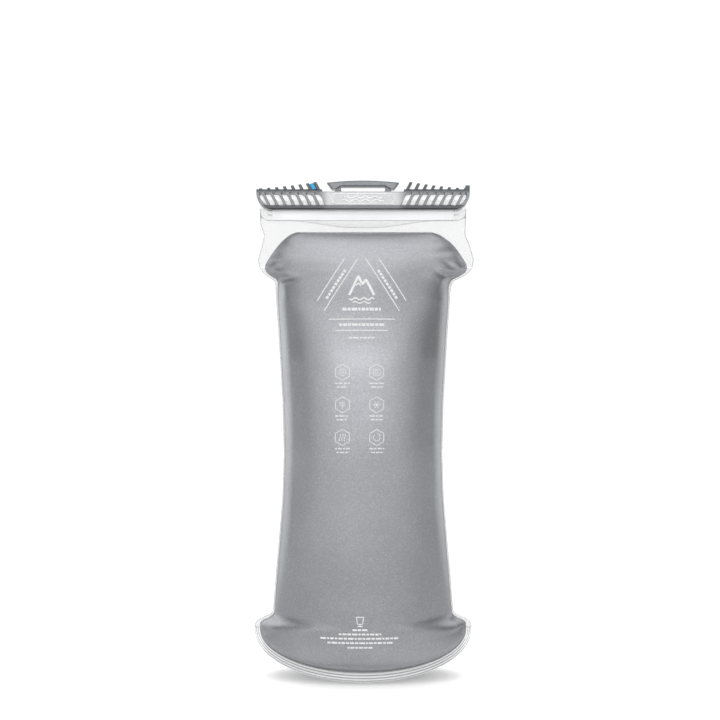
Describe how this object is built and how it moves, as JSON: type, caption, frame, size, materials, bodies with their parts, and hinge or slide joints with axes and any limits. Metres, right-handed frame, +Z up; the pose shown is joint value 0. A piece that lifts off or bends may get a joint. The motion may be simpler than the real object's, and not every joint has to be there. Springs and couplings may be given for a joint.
{
  "type": "hydration bladder",
  "caption": "Insulated gusseted water bag that stands on its base, with a slide-off closure with comb fins and a carry handle on top and a quick-release hose socket on its back.",
  "frame": {"origin": "middle of the flat of the base, on the floor it stands on", "axes": "+Z up from the base to the handle, +X along the closure towards its thumb tab, +Y out of the back on the hose socket's axis; the front faces -Y"},
  "size_m": [0.1692, 0.1065, 0.3865],
  "materials": {
    "clear_film": "gloss",
    "liner_film": "gloss",
    "foam": "satin",
    "mouth_strip": "gloss",
    "rail": "gloss",
    "closure": "satin",
    "grip": "satin",
    "plug": "gloss",
    "socket": "satin",
    "flange": "satin",
    "latch": "gloss",
    "valve": "satin",
    "seal": "matte",
    "spring": "satin"
  },
  "bodies": {
    "bladder": {"front_skin": "clear_film", "rear_skin": "clear_film", "base_skin": "clear_film", "front_insulation": "foam", "rear_insulation": "foam", "base_insulation": "foam", "front_liner": "liner_film", "rear_liner": "liner_film", "base_liner": "liner_film", "fold_rail": "rail", "inner_mouth_strip": "mouth_strip", "outer_mouth_strip": "mouth_strip", "port_flange": "flange", "port_gasket": "seal", "socket_housing": "socket", "retaining_nut": "socket", "latch_spring": "spring", "poppet_spring": "spring"},
    "closure": {"slide_closure": "closure", "handle_grip": "grip", "marker_plug": "plug"},
    "valve": {"valve_poppet": "valve", "poppet_seal": "seal"},
    "latch": {"release_latch": "latch"}
  },
  "joints": [
    {"name": "closure_slide", "type": "slide", "parent": "bladder", "child": "closure", "axis": [1, 0, 0], "range_m": [0, 0.166]},
    {"name": "valve_slide", "type": "slide", "parent": "bladder", "child": "valve", "axis": [0, -1, 0], "range_m": [0, 0.0025], "stiffness_N_per_m": 400, "springref_m": -0.003, "deforming": ["poppet_spring"]},
    {"name": "latch_press", "type": "slide", "parent": "bladder", "child": "latch", "axis": [0, 0, -1], "range_m": [0, 0.0016], "stiffness_N_per_m": 1200, "springref_m": -0.002, "deforming": ["latch_spring"]}
  ]
}
